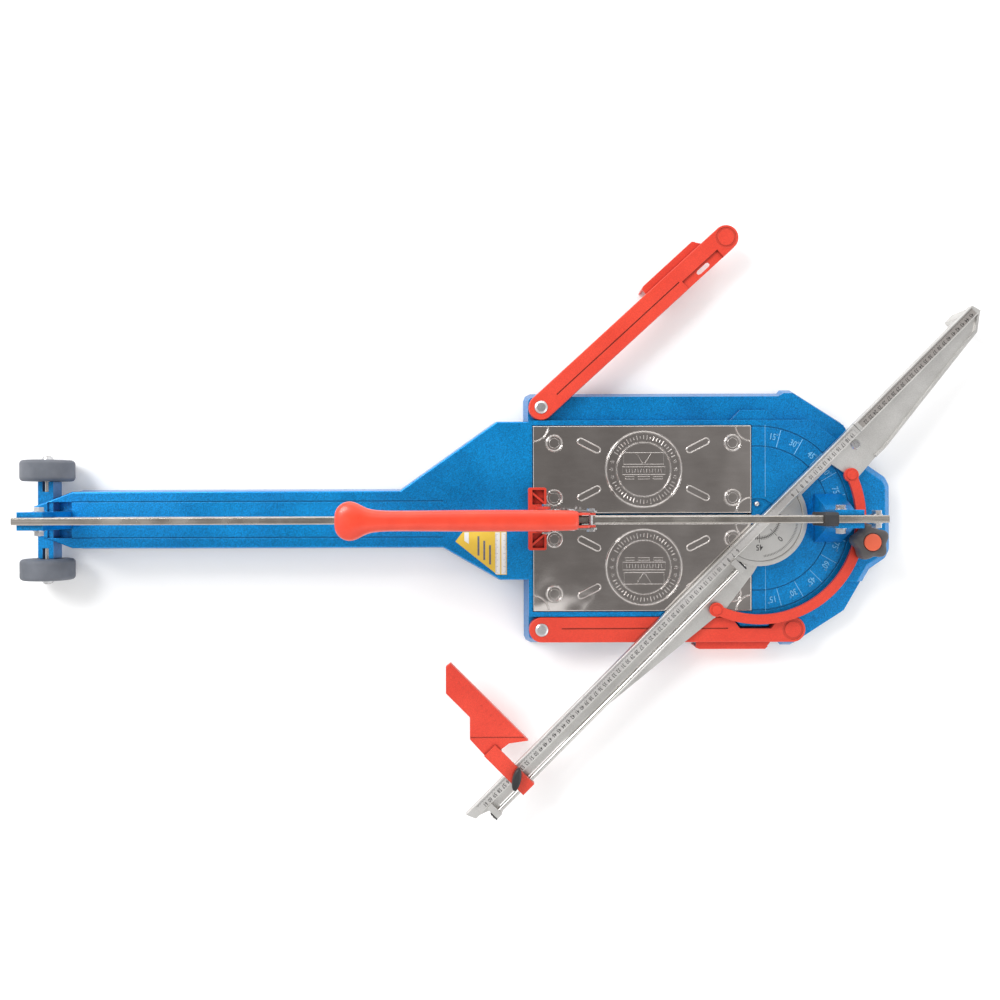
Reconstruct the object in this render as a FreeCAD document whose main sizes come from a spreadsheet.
import FreeCAD, Part
import math
import os
import re

import Sketcher

# Rail tile cutter with a swinging angle fence, two side arms, sprung plates and transport wheels.
#
# Millimetres, +Z up. The design frame has x = 0 at the fence pivot, y = 0 under the rail and
# z = 0 on the floor; +X runs from the tail to the head. At the end every sub-part is moved by
# one shift, so that the origin lies at the middle of the machine's footprint.
# The fence is swung 45 degrees and the left arm is opened, as the machine is stored here.

Vector = FreeCAD.Vector
Z_AXIS = Vector(0, 0, 1)
ALONG_Y = FreeCAD.Rotation(Vector(1, 0, 0), -90)
AGAINST_Y = FreeCAD.Rotation(Vector(1, 0, 0), 90)
SIDES = (("left", 1), ("right", -1))

# Driving dimensions, one spreadsheet cell each.
SIZES = {
    # casting
    "foot_height": 8,
    "deck_top": 50,
    "deck_skin": 5,
    "wall": 5,
    "head_rear": 356,
    "head_front": 208,
    "head_nose_half": 50,
    "head_half": 191,
    "tail_half": 44,
    "tail_end": 1126,
    "tail_taper_start": 1066,
    "tail_tip_half": 21,
    "tail_groove": 27,
    "groove_width": 2,
    "groove_depth": 1.2,
    "waist_left_rear": 556,
    "waist_left_front": 405,
    "waist_left_half": 151,
    "waist_right_rear": 489,
    "waist_right_front": 400,
    "waist_right_half": 95,
    "corner_round": 14,
    "edge_round": 2.5,
    "nose_bevel": 10,
    "head_flare": 7,
    "tail_flare": 3,
    # sprung plates and breaker bar
    "plate_rear": 349,
    "plate_front": 10,
    "plate_inner": 8,
    "plate_outer": 144,
    "plate_top": 52,
    "plate_skin": 3,
    "plate_skirt": 9,
    "plate_gap": 1,
    "recess_floor": 30,
    "bar_half": 5,
    "bar_top": 54,
    "medallion_x": 177,
    "medallion_radius": 60,
    "dimple_rear": 316,
    "dimple_front": 39,
    "dimple_inner": 32,
    "dimple_outer": 117,
    "dimple_radius": 13.4,
    "relief": 1,
    "corner_arc": 25,
    "rib_length": 39,
    "rib_width": 9,
    "rib_tilt": 27,
    "rib_rear": 262,
    "rib_front": 93,
    "spring_radius": 7,
    "seat_gap": 0.3,
    # rail and its supports
    "rail_front": 163,
    "rail_rear": 1108,
    "rail_half": 5.5,
    "rail_web_half": 3,
    "rail_flange": 11,
    "rail_bottom": 105,
    "rail_top": 155,
    "tower_rear": 88,
    "tower_front": 130,
    "tower_foot_half": 38,
    "tower_neck_half": 20,
    "cheek_half": 13.5,
    "cheek_top": 146,
    "post_rear": 1104,
    "post_front": 1066,
    "post_pocket_half": 28,
    "rail_bolt_height": 130,
    "rail_bolt_radius": 4,
    "front_bolt_x": 101,
    "end_bolt_x": 154,
    "rear_bolt_x": 1079,
    "bumper_rear": 69,
    "bumper_half": 10,
    "bumper_lip": 6,
    # wheels
    "axle_x": 1108,
    "axle_radius": 5,
    "axle_half": 100,
    "wing_half": 60,
    "wing_length": 28,
    "wheel_radius": 40,
    "wheel_width": 33,
    "hub_radius": 25,
    "hub_dish": 9,
    "running": 0.05,
    "side_gap": 0.5,
    # side arms
    "arm_pivot_x": 336,
    "arm_pivot_y": 173,
    "arm_length": 390,
    "arm_half": 19.5,
    "arm_top": 52,
    "arm_bottom": 34.5,
    "arm_skin": 4,
    "arm_groove": 1.5,
    "arm_open_deg": 42.4,
    "shelf_height": 34,
    "shelf_inner": 152.5,
    "shelf_front": 82,
    "rivet_radius": 5,
    "rivet_head": 10,
    "bump_rear": 40,
    "bump_front": 32,
    "bump_depth": 16,
    "bump_slope": 15,
    "bump_top": 44,
    "notch_gap": 3,
    "panel_bottom": 45.5,
    "panel_top": 48.5,
    "leg_start": 242,
    "leg_end": 350,
    "leg_reach": 12.5,
    "leg_thick": 4,
    "leg_bottom": 1,
    # fence
    "fence_deg": 45,
    "fence_bottom": 54.5,
    "fence_web": 4,
    "fence_top": 66.5,
    "fence_tail": 643,
    "ruler_width": 16,
    "fence_edge": 28,
    "disc_radius": 74,
    "pivot_radius": 5.5,
    "pivot_washer": 7.5,
    "pivot_screw": 2,
    "pivot_ring": 31,
    "scale_inner": 111,
    "scale_outer": 142,
    "upper_arm_width": 21,
    "upper_arm_wide": 138,
    "fence_front": 204,
    "fence_front_width": 61,
    "extension_tip": 462,
    "rod_radius": 4,
    "rod_offset": 32.5,
    "rod_start": 72,
    "rod_end": 612,
    "lug_length": 10,
    # goniometer arc and its clamp
    "gonio_radius": 156,
    "gonio_width": 15,
    "gonio_start_deg": -160.4,
    "gonio_sweep_deg": 140.4,
    "gonio_thick": 6,
    "gonio_boss": 11,
    "pin_radius": 4,
    "clamp_along": 0.9759,
    "clamp_across": -0.2181,
    "clamp_boss": 9,
    "stud_radius": 3,
    "knob_radius": 28.6,
    "knob_bottom": 67,
    "knob_top": 92,
    "cap_radius": 13,
    # sliding stop
    "stop_face": 494,
    "stop_reach": 181,
    "stop_thick": 12,
    "stop_bridge": 5,
    # carriage and handle
    "carriage_x": 290,
    "carriage_inner": 11,
    "carriage_skin": 2.5,
    "carriage_bottom": 72,
    "carriage_top": 176,
    "carriage_rear": 346,
    "carriage_front": 262,
    "roller_radius": 9,
    "roller_half": 5,
    "roller_gap": 0.3,
    "roller_rear": 330,
    "roller_front": 297,
    "roller_low_rear": 315,
    "roller_low_front": 294,
    "roller_pin": 3,
    "score_radius": 8,
    "score_bottom": 56.5,
    "score_half": 1.5,
    "score_pin": 1.5,
    "handle_pivot_x": 270,
    "handle_pivot_z": 165,
    "handle_pin": 3,
    "handle_tip": 634,
    "prong_inner": 7.2,
    "prong_outer": 10.6,
    "foot_hinge_x": 331,
    "foot_hinge_z": 88,
    "pad_rear": 354,
    "pad_front": 329,
    "pad_outer": 48,
    "pad_bottom": 56,
    "pad_top": 70,
    # rubber feet
    "foot_radius": 12,
    "foot_rear_x": 320,
    "foot_rear_y": 165,
    "foot_front_x": 120,
    "foot_front_y": 85,
}

doc = FreeCAD.newDocument("tile_cutter")
sheet = doc.addObject("Spreadsheet::Sheet", "Sizes")
for row, (alias, value) in enumerate(SIZES.items(), start=1):
    sheet.set("A%d" % row, alias)
    sheet.set("B%d" % row, str(value))
    sheet.setAlias("B%d" % row, alias)
doc.recompute()

subparts = {}

# the clamp's stud stands just outside the goniometer arc
CLAMP_REACH = "(gonio_radius + gonio_width / 2 + stud_radius + 0.5)"
CLAMP_X = CLAMP_REACH + " * clamp_along"
CLAMP_Y = CLAMP_REACH + " * clamp_across"

FOOT_PLACES = [
    ("-foot_rear_x", "foot_rear_y", "shelf_height - deck_skin"),
    ("-foot_rear_x", "-foot_rear_y", "shelf_height - deck_skin"),
    ("foot_front_x", "foot_front_y", "deck_top - deck_skin"),
    ("foot_front_x", "-foot_front_y", "deck_top - deck_skin"),
]


def bound(formula):
    """Write 'deck_top - 2' as the expression 'Sizes.deck_top - 2'."""
    return re.sub(r"[a-z_]+", lambda word: "Sizes." + word.group(), str(formula))


def number(formula):
    """The value of a formula of named sizes."""
    return float(sheet.evalExpression(bound(formula)))


def place(thing, x=0, y=0, z=0, rotation=FreeCAD.Rotation()):
    """Set a placement from formulas."""
    thing.Placement = FreeCAD.Placement(Vector(number(x), number(y), number(z)), rotation)
    return thing


def keep(label, thing, x=0, y=0, z=0, rotation=FreeCAD.Rotation()):
    """Register a sub-part under its label, placed in the design frame."""
    thing.Label = label
    subparts[label] = place(thing, x, y, z, rotation)
    return thing


# ---------------------------------------------------------------- sketch based bodies


def body(name):
    return doc.addObject("PartDesign::Body", name)


def sketch(part, role, offset, loops):
    """Closed loops on an origin plane of the body, every point bound to the sheet.

    A loop is a list of (across, up) formulas, or a (centre, centre, radius) circle.
    """
    plane = next(item for item in part.Origin.OriginFeatures if item.Role == role)
    drawing = part.newObject("Sketcher::SketchObject", part.Name + "_sketch")
    drawing.AttachmentSupport = [(plane, "")]
    drawing.MapMode = "FlatFace"
    drawing.setExpression("AttachmentOffset.Base.z", bound(offset))
    for loop in loops:
        if isinstance(loop, tuple):
            centre = Vector(number(loop[0]), number(loop[1]), 0)
            ring = drawing.addGeometry(Part.Circle(centre, Z_AXIS, number(loop[2])))
            bind(drawing, "DistanceX", ring, 3, loop[0])
            bind(drawing, "DistanceY", ring, 3, loop[1])
            radius = drawing.addConstraint(Sketcher.Constraint("Radius", ring, number(loop[2])))
            drawing.setExpression("Constraints[%d]" % radius, bound(loop[2]))
            continue
        corners = [Vector(number(across), number(up), 0) for across, up in loop]
        first = drawing.GeometryCount
        count = len(loop)
        for index in range(count):
            drawing.addGeometry(Part.LineSegment(corners[index], corners[(index + 1) % count]))
        for index in range(count):
            following = first + (index + 1) % count
            drawing.addConstraint(Sketcher.Constraint("Coincident", first + index, 2, following, 1))
        for index, (across, up) in enumerate(loop):
            bind(drawing, "DistanceX", first + index, 1, across)
            bind(drawing, "DistanceY", first + index, 1, up)
    return drawing


def bind(drawing, kind, geometry, point, formula):
    """Hold one coordinate of a point at a formula of named sizes."""
    index = drawing.addConstraint(Sketcher.Constraint(kind, geometry, point, number(formula)))
    drawing.setExpression("Constraints[%d]" % index, bound(formula))


def pad(part, role, start, loops, length, middle=False):
    """Grow the body by loops drawn at 'start' along the plane's normal."""
    feature = part.newObject("PartDesign::Pad", part.Name + "_pad")
    feature.Profile = sketch(part, role, start, loops)
    feature.setExpression("Length", bound(length))
    feature.SideType = "Symmetric" if middle else "One side"
    doc.recompute()
    return feature


def skirt(part, loop, flare, height):
    """Sloping foot of a cast wall: the loop is the wall's line, and the foot stands out by flare."""
    feature = pad(part, "XY_Plane", "foot_height", [loop], height)
    feature.TaperAngle = -math.degrees(math.atan((number(flare) + 1) / number(height)))
    doc.recompute()
    return feature


def pocket(part, role, start, loops, length, middle=False):
    """Cut loops drawn at 'start', going along the plane's normal; the volume has to fall."""
    before = part.Shape.Volume
    feature = part.newObject("PartDesign::Pocket", part.Name + "_pocket")
    feature.Profile = sketch(part, role, start, loops)
    feature.setExpression("Length", bound(length))
    feature.SideType = "Symmetric" if middle else "One side"
    feature.Reversed = True
    doc.recompute()
    if part.Shape.Volume >= before:
        raise ValueError("a pocket of %s cuts nothing" % part.Name)
    return feature


def rectangle(low_x, high_x, low_y, high_y):
    return [(low_x, low_y), (high_x, low_y), (high_x, high_y), (low_x, high_y)]


def mirrored(points):
    """The same loop on the other side of the rail."""
    return [(across, "-(%s)" % up) for across, up in points]


def sided(points, side):
    return points if side > 0 else mirrored(points)


def slot_loop(part_x, part_y, length, width, tilt):
    """An oblong outline with eight corners, turned by tilt degrees about its centre."""
    half = number(length) / 2
    end = number(width) / 2
    straight = half - end
    corners = [
        (-half, -end / 2),
        (-half, end / 2),
        (-straight, end),
        (straight, end),
        (half, end / 2),
        (half, -end / 2),
        (straight, -end),
        (-straight, -end),
    ]
    turn = math.radians(tilt)
    loop = []
    for along, across in corners:
        turned_x = along * math.cos(turn) - across * math.sin(turn)
        turned_y = along * math.sin(turn) + across * math.cos(turn)
        loop.append(("%s + %.4f" % (part_x, turned_x), "%s + %.4f" % (part_y, turned_y)))
    return loop


def dress(part, kind, size, wanted):
    """Fillet or chamfer the edges for which wanted(edge) is true."""
    base = part.Tip
    names = []
    for index, edge in enumerate(base.Shape.Edges, start=1):
        if wanted(edge):
            names.append("Edge%d" % index)
    if not names:
        raise ValueError("no edge to dress on %s" % part.Name)
    feature = part.newObject("PartDesign::" + kind, part.Name + "_" + kind.lower())
    feature.Base = (base, names)
    feature.setExpression("Radius" if kind == "Fillet" else "Size", bound(size))
    doc.recompute()
    return feature


def upright(edge):
    """True for a straight edge along Z."""
    ends = [vertex.Point for vertex in edge.Vertexes]
    if len(ends) != 2 or edge.Curve.TypeId != "Part::GeomLine":
        return False
    return abs(ends[0].x - ends[1].x) < 0.01 and abs(ends[0].y - ends[1].y) < 0.01


def level(edge, height):
    """True for an edge that lies at one height."""
    height = number(height)
    return all(abs(point.z - height) < 0.01 for point in edge.discretize(5))


# ---------------------------------------------------------------- primitives


def cylinder(radius, length, x=0, y=0, z=0, rotation=FreeCAD.Rotation(), angle=360):
    shape = doc.addObject("Part::Cylinder", "round")
    shape.setExpression("Radius", bound(radius))
    shape.setExpression("Height", bound(length))
    shape.setExpression("Angle", bound(angle))
    return place(shape, x, y, z, rotation)


def hexagon(radius, length, x=0, y=0, z=0, rotation=FreeCAD.Rotation()):
    shape = doc.addObject("Part::Prism", "hexagon")
    shape.Polygon = 6
    shape.setExpression("Circumradius", bound(radius))
    shape.setExpression("Height", bound(length))
    return place(shape, x, y, z, rotation)


def cone(low_radius, high_radius, length, x=0, y=0, z=0, rotation=FreeCAD.Rotation()):
    shape = doc.addObject("Part::Cone", "cone")
    shape.setExpression("Radius1", bound(low_radius))
    shape.setExpression("Radius2", bound(high_radius))
    shape.setExpression("Height", bound(length))
    return place(shape, x, y, z, rotation)


def fuse(*shapes):
    joined = doc.addObject("Part::MultiFuse", "joined")
    joined.Shapes = list(shapes)
    return joined


def cut(base, tool):
    rest = doc.addObject("Part::Cut", "rest")
    rest.Base = base
    rest.Tool = tool
    return rest


# ---------------------------------------------------------------- base casting


def base_casting():
    part = body("base")
    outline = [
        ("-tail_end", "-tail_tip_half"),
        ("-tail_taper_start", "-tail_half"),
        ("-waist_right_rear", "-tail_half"),
        ("-waist_right_front", "-waist_right_half"),
        ("-head_rear", "-waist_right_half"),
        ("-head_rear", "-head_half"),
        ("head_front * 0.18", "-head_half"),
        ("head_front * 0.22", "-head_half - 5"),
        ("head_front * 0.29", "-head_half - 5"),
        ("head_front * 0.67", "-head_half * 0.76"),
        ("head_front * 0.85", "-head_half * 0.42"),
        ("head_front * 0.97", "-head_nose_half - 13"),
        ("head_front", "-head_nose_half"),
        ("head_front", "head_nose_half"),
        ("head_front * 0.97", "head_nose_half + 13"),
        ("head_front * 0.85", "head_half * 0.42"),
        ("head_front * 0.67", "head_half * 0.76"),
        ("head_front * 0.29", "head_half + 5"),
        ("head_front * 0.22", "head_half + 5"),
        ("head_front * 0.18", "head_half"),
        ("-head_rear", "head_half"),
        ("-head_rear", "waist_left_half"),
        ("-waist_left_front", "waist_left_half"),
        ("-waist_left_rear", "tail_half"),
        ("-tail_taper_start", "tail_half"),
        ("-tail_end", "tail_tip_half"),
    ]
    pad(part, "XY_Plane", "foot_height", [outline], "deck_top - foot_height")
    rear = -number("head_rear")
    half = number("head_half")
    nose = number("head_front") * 0.29 - 1

    def head_corner(edge):
        where = edge.CenterOfMass
        at_rear = abs(where.x - rear) < 1 and abs(abs(where.y) - half) < 1
        at_nose = where.x > number("head_front") - 8
        return upright(edge) and (at_rear or at_nose)

    dress(part, "Fillet", "corner_round", head_corner)

    def nose_rim(edge):
        where = edge.CenterOfMass
        return level(edge, "deck_top") and where.x > nose and abs(where.y) > number("head_nose_half") + 6

    dress(part, "Chamfer", "nose_bevel", nose_rim)
    dress(part, "Fillet", "edge_round", lambda edge: level(edge, "deck_top") and edge.CenterOfMass.x < rear)

    # sloping skirts round the head, and narrower ones along the waist and tail
    side = "head_half + head_flare"
    half_skirt = [
        ("head_front + head_flare", "head_nose_half"),
        ("head_front * 0.97 + head_flare", "head_nose_half + 16"),
        ("head_front * 0.85 + head_flare", "head_half * 0.42 + 5"),
        ("head_front * 0.67 + 5", "head_half * 0.76 + 6"),
        ("head_front * 0.3", side + " + 5"),
        ("head_front * 0.22", side + " + 5"),
        ("head_front * 0.2", side),
        ("-head_rear + 4", side),
        ("-head_rear - head_flare * 0.6", "head_half + head_flare * 0.4"),
        ("-head_rear - head_flare", "head_half - 4"),
    ]
    skirt(part, half_skirt + mirrored(reversed(half_skirt)), "head_flare", "shelf_height - 6 - foot_height")
    waist = [
        ("-head_rear + wall", "waist_left_half + tail_flare"),
        ("-waist_left_front - tail_flare", "waist_left_half + tail_flare"),
        ("-waist_left_rear - tail_flare", "tail_half + tail_flare"),
        ("-tail_taper_start", "tail_half + tail_flare"),
        ("-tail_taper_start", "-tail_half - tail_flare"),
        ("-waist_right_rear - tail_flare", "-tail_half - tail_flare"),
        ("-waist_right_front - tail_flare", "-waist_right_half - tail_flare"),
        ("-head_rear + wall", "-waist_right_half - tail_flare"),
    ]
    skirt(part, waist, "tail_flare", "deck_top - 8 - foot_height")

    # hollow underside, in bays that leave cross walls between them
    under = "deck_top - deck_skin - foot_height"
    tail_bay = rectangle("-post_front + 25", "-waist_left_rear", "-tail_half + wall", "tail_half - wall")
    pocket(part, "XY_Plane", "foot_height", [tail_bay], under)
    neck = [
        ("-waist_left_rear + wall", "-tail_half + wall"),
        ("-waist_right_rear", "-tail_half + wall"),
        ("-waist_right_front", "-waist_right_half + wall"),
        ("-head_rear - wall", "-waist_right_half + wall"),
        ("-head_rear - wall", "waist_left_half - wall"),
        ("-waist_left_front", "waist_left_half - wall - 2"),
        ("-waist_left_rear + wall", "tail_half - wall"),
    ]
    pocket(part, "XY_Plane", "foot_height", [neck], under)
    front_bay = [
        ("plate_front + wall", "-shelf_inner + wall"),
        ("shelf_front - wall", "-shelf_inner + wall"),
        ("head_front * 0.57", "-head_half * 0.61"),
        ("head_front * 0.63", "-head_half * 0.49"),
        ("head_front - wall - 8", "-head_nose_half"),
        ("head_front - wall - 8", "head_nose_half"),
        ("head_front * 0.63", "head_half * 0.49"),
        ("head_front * 0.57", "head_half * 0.61"),
        ("shelf_front - wall", "shelf_inner - wall"),
        ("plate_front + wall", "shelf_inner - wall"),
    ]
    pocket(part, "XY_Plane", "foot_height", [front_bay], under)
    bay_half = "plate_outer - wall"
    plate_bay = rectangle("-plate_rear + wall", "-plate_front - wall", "-(%s)" % bay_half, bay_half)
    pocket(part, "XY_Plane", "foot_height", [plate_bay], "recess_floor - deck_skin - foot_height")
    shelf_bay = rectangle("-head_rear + 45", "shelf_front - 20", "shelf_inner + wall", "head_half - wall")
    under_shelf = "shelf_height - deck_skin - foot_height"
    for side in (1, -1):
        pocket(part, "XY_Plane", "foot_height", [sided(shelf_bay, side)], under_shelf)

    # plate recess, arm shelves and the bumps that lock the folded arms
    recess_half = "plate_outer + plate_gap"
    recess_front = "-plate_front + plate_gap"
    recess = rectangle("-plate_rear - plate_gap", recess_front, "-(%s)" % recess_half, recess_half)
    pocket(part, "XY_Plane", "recess_floor", [recess], "deck_top - recess_floor")
    for side in (1, -1):
        shelf = [
            ("-head_rear - 5", "shelf_inner"),
            ("shelf_front", "shelf_inner"),
            ("head_front * 0.59", "head_half * 0.64"),
            ("head_front * 0.67", "head_half * 0.52"),
            ("head_front", "head_half * 0.52"),
            ("head_front", "head_half + 20"),
            ("-head_rear - 5", "head_half + 20"),
        ]
        pocket(part, "XY_Plane", "shelf_height", [sided(shelf, side)], "deck_top - shelf_height")
        bump = [
            ("-bump_rear", "shelf_inner"),
            ("bump_front", "shelf_inner"),
            ("bump_front - bump_slope", "shelf_inner + bump_depth"),
            ("-bump_rear + bump_slope", "shelf_inner + bump_depth"),
        ]
        pad(part, "XY_Plane", "shelf_height", [sided(bump, side)], "bump_top - shelf_height")
        pivot = ("-arm_pivot_x", "arm_pivot_y * %d" % side)
        pocket(part, "XY_Plane", "foot_height", [(*pivot, "rivet_radius")], "shelf_height - foot_height")

    # front tower with the two cheeks that hold the rail
    tower = [
        ("-tower_foot_half", "deck_top"),
        ("tower_foot_half", "deck_top"),
        ("tower_neck_half", "rail_bottom - 12"),
        ("cheek_half", "rail_bottom"),
        ("cheek_half", "cheek_top"),
        ("rail_half", "cheek_top"),
        ("rail_half", "rail_bottom"),
        ("-rail_half", "rail_bottom"),
        ("-rail_half", "cheek_top"),
        ("-cheek_half", "cheek_top"),
        ("-cheek_half", "rail_bottom"),
        ("-tower_neck_half", "rail_bottom - 12"),
    ]
    pad(part, "YZ_Plane", "tower_rear", [tower], "tower_front - tower_rear")
    hollow_half = "tower_neck_half - wall"
    hollow = rectangle("tower_rear + wall", "tower_front - wall", "-(%s)" % hollow_half, hollow_half)
    pocket(part, "XY_Plane", "deck_top - deck_skin", [hollow], "rail_bottom - 2 * deck_skin - deck_top")

    # rear pocket and post
    pit = rectangle("-post_rear", "-post_front", "-post_pocket_half", "post_pocket_half")
    pocket(part, "XY_Plane", "recess_floor", [pit], "deck_top - recess_floor")
    post = [
        ("-cheek_half", "recess_floor"),
        ("cheek_half", "recess_floor"),
        ("cheek_half", "cheek_top"),
        ("rail_half", "cheek_top"),
        ("rail_half", "rail_bottom"),
        ("-rail_half", "rail_bottom"),
        ("-rail_half", "cheek_top"),
        ("-cheek_half", "cheek_top"),
    ]
    pad(part, "YZ_Plane", "-post_rear", [post], "post_rear - post_front")

    # wings that carry the wheel axle in an open channel
    axle_height = "wheel_radius"
    wing = [
        ("-axle_x - wing_length / 2", axle_height + " - 18"),
        ("-axle_x + wing_length / 2", axle_height + " - 18"),
        ("-axle_x + wing_length / 2 - 2", axle_height + " + 7"),
        ("-axle_x - wing_length / 2 + 2", axle_height + " + 7"),
    ]
    pad(part, "XZ_Plane", 0, [wing], "2 * wing_half", middle=True)
    pocket(part, "XZ_Plane", 0, [("-axle_x", axle_height, "axle_radius")], "2 * wing_half + 4", middle=True)
    for side in (1, -1):
        channel = rectangle("-axle_x - axle_radius", "-axle_x + axle_radius", "tail_half", "wing_half + 1")
        pocket(part, "XY_Plane", axle_height, [sided(channel, side)], "8")

    # bolt holes through cheeks and post
    for place_x in ("front_bolt_x", "-rear_bolt_x"):
        hole = (place_x, "rail_bolt_height", "rail_bolt_radius")
        pocket(part, "XZ_Plane", 0, [hole], "2 * cheek_half + 4", middle=True)

    # fence pivot bore with its shallow seat, and the two grooves of the angle scale
    pocket(part, "XY_Plane", "deck_top - 2", [(0, 0, "pivot_ring")], "2")
    for radius in ("scale_inner", "scale_outer"):
        groove = [(0, 0, radius + " + groove_width"), (0, 0, radius)]
        pocket(part, "XY_Plane", "deck_top - groove_depth", groove, "groove_depth + 1")
    well = "deck_top - deck_skin - foot_height"
    pocket(part, "XY_Plane", "foot_height", [(0, 0, "pivot_washer + side_gap")], well)
    pocket(part, "XY_Plane", "deck_top - deck_skin - 1", [(0, 0, "pivot_radius + running")], "deck_skin + 1")
    pad(part, "XY_Plane", "deck_top", [(CLAMP_X, CLAMP_Y, "clamp_boss")], "fence_bottom + 3 - deck_top")
    pocket(part, "XY_Plane", "deck_top - deck_skin - 1", [(CLAMP_X, CLAMP_Y, "stud_radius")], "20")

    # long grooves on the tail
    for side in (1, -1):
        far_edge = "tail_groove + groove_width"
        line = rectangle("-tail_taper_start", "-waist_right_rear", "tail_groove", far_edge)
        pocket(part, "XY_Plane", "deck_top - groove_depth", [sided(line, side)], "groove_depth + 1")

    # posts above the rubber feet
    for place_x, place_y, top in FOOT_PLACES:
        pad(part, "XY_Plane", "foot_height", [(place_x, place_y, "foot_radius")], top + " - foot_height")
    return keep("base_casting", part)


def rubber_feet():
    for index, (place_x, place_y, _) in enumerate(FOOT_PLACES, start=1):
        keep("rubber_foot_%d" % index, cylinder("foot_radius", "foot_height"), place_x, place_y)


# ---------------------------------------------------------------- rail


def breaker_bar():
    part = body("bar")
    ridge = [
        ("-bar_half", "recess_floor"),
        ("bar_half", "recess_floor"),
        ("bar_half", "bar_top - 3"),
        ("1.2", "bar_top"),
        ("-1.2", "bar_top"),
        ("-bar_half", "bar_top - 3"),
    ]
    pad(part, "YZ_Plane", "-plate_rear", [ridge], "plate_rear - plate_front")
    return keep("breaker_bar", part)


def rail():
    part = body("rail")
    half = [
        ("rail_half - 1.5", "rail_bottom"),
        ("rail_half", "rail_bottom + 1.5"),
        ("rail_half", "rail_bottom + rail_flange"),
        ("rail_web_half", "rail_bottom + rail_flange + 3"),
        ("rail_web_half", "rail_top - rail_flange - 3"),
        ("rail_half", "rail_top - rail_flange"),
        ("rail_half", "rail_top - 1.5"),
        ("rail_half - 1.5", "rail_top"),
    ]
    other = [("-(%s)" % across, up) for across, up in reversed(half)]
    pad(part, "YZ_Plane", "-rail_rear", [half + other], "rail_rear + rail_front")
    for place_x in ("front_bolt_x", "end_bolt_x", "-rear_bolt_x"):
        hole = (place_x, "rail_bolt_height", "rail_bolt_radius")
        pocket(part, "XZ_Plane", 0, [hole], "4 * rail_half", middle=True)
    return keep("rail", part)


def rail_bumper():
    """Rubber collar that stops the carriage in front of the tower."""
    part = body("bumper")
    outer = [
        ("-bumper_half", "rail_bottom - bumper_lip + 3"),
        ("-bumper_half + 3", "rail_bottom - bumper_lip"),
        ("bumper_half - 3", "rail_bottom - bumper_lip"),
        ("bumper_half", "rail_bottom - bumper_lip + 3"),
        ("bumper_half", "rail_top + bumper_lip - 4"),
        ("bumper_half - 4", "rail_top + bumper_lip"),
        ("-bumper_half + 4", "rail_top + bumper_lip"),
        ("-bumper_half", "rail_top + bumper_lip - 4"),
    ]
    inner = rectangle("-rail_half", "rail_half", "rail_bottom", "rail_top")
    pad(part, "YZ_Plane", "bumper_rear", [outer, inner], "tower_rear - bumper_rear")
    return keep("rail_bumper", part)


def rail_bolts():
    """Hexagon bolts, washers and nuts across the rail."""
    places = (
        ("front_bolt_x", "cheek_half"),
        ("end_bolt_x", "rail_half"),
        ("-rear_bolt_x", "cheek_half"),
    )
    washers = []
    bolts = []
    nuts = []
    for place_x, face in places:
        height = "rail_bolt_height"
        at_head = (place_x, face + " + 1.5", height, ALONG_Y)
        at_nut = (place_x, "-(%s) - 1.5" % face, height, AGAINST_Y)
        shank_start = "-(%s) - 8.5" % face
        shank = cylinder("rail_bolt_radius", "2 * (%s) + 10" % face, place_x, shank_start, height, ALONG_Y)
        head = hexagon("rail_bolt_radius * 1.85", "5.5", *at_head)
        bolts.append(fuse(shank, head))
        nut = hexagon("rail_bolt_radius * 1.85", "6.5", *at_nut)
        bore = cylinder("rail_bolt_radius", "6.5", *at_nut)
        nuts.append(cut(nut, bore))
        for start in (face, "-(%s) - 1.5" % face):
            disc = cylinder("rail_bolt_radius * 2.1", "1.5", place_x, start, height, ALONG_Y)
            eye = cylinder("rail_bolt_radius", "1.5", place_x, start, height, ALONG_Y)
            washers.append(cut(disc, eye))
    keep("rail_bolts", fuse(*bolts))
    keep("rail_nuts", fuse(*nuts))
    keep("rail_washers", fuse(*washers))


# ---------------------------------------------------------------- sprung plates


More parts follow.
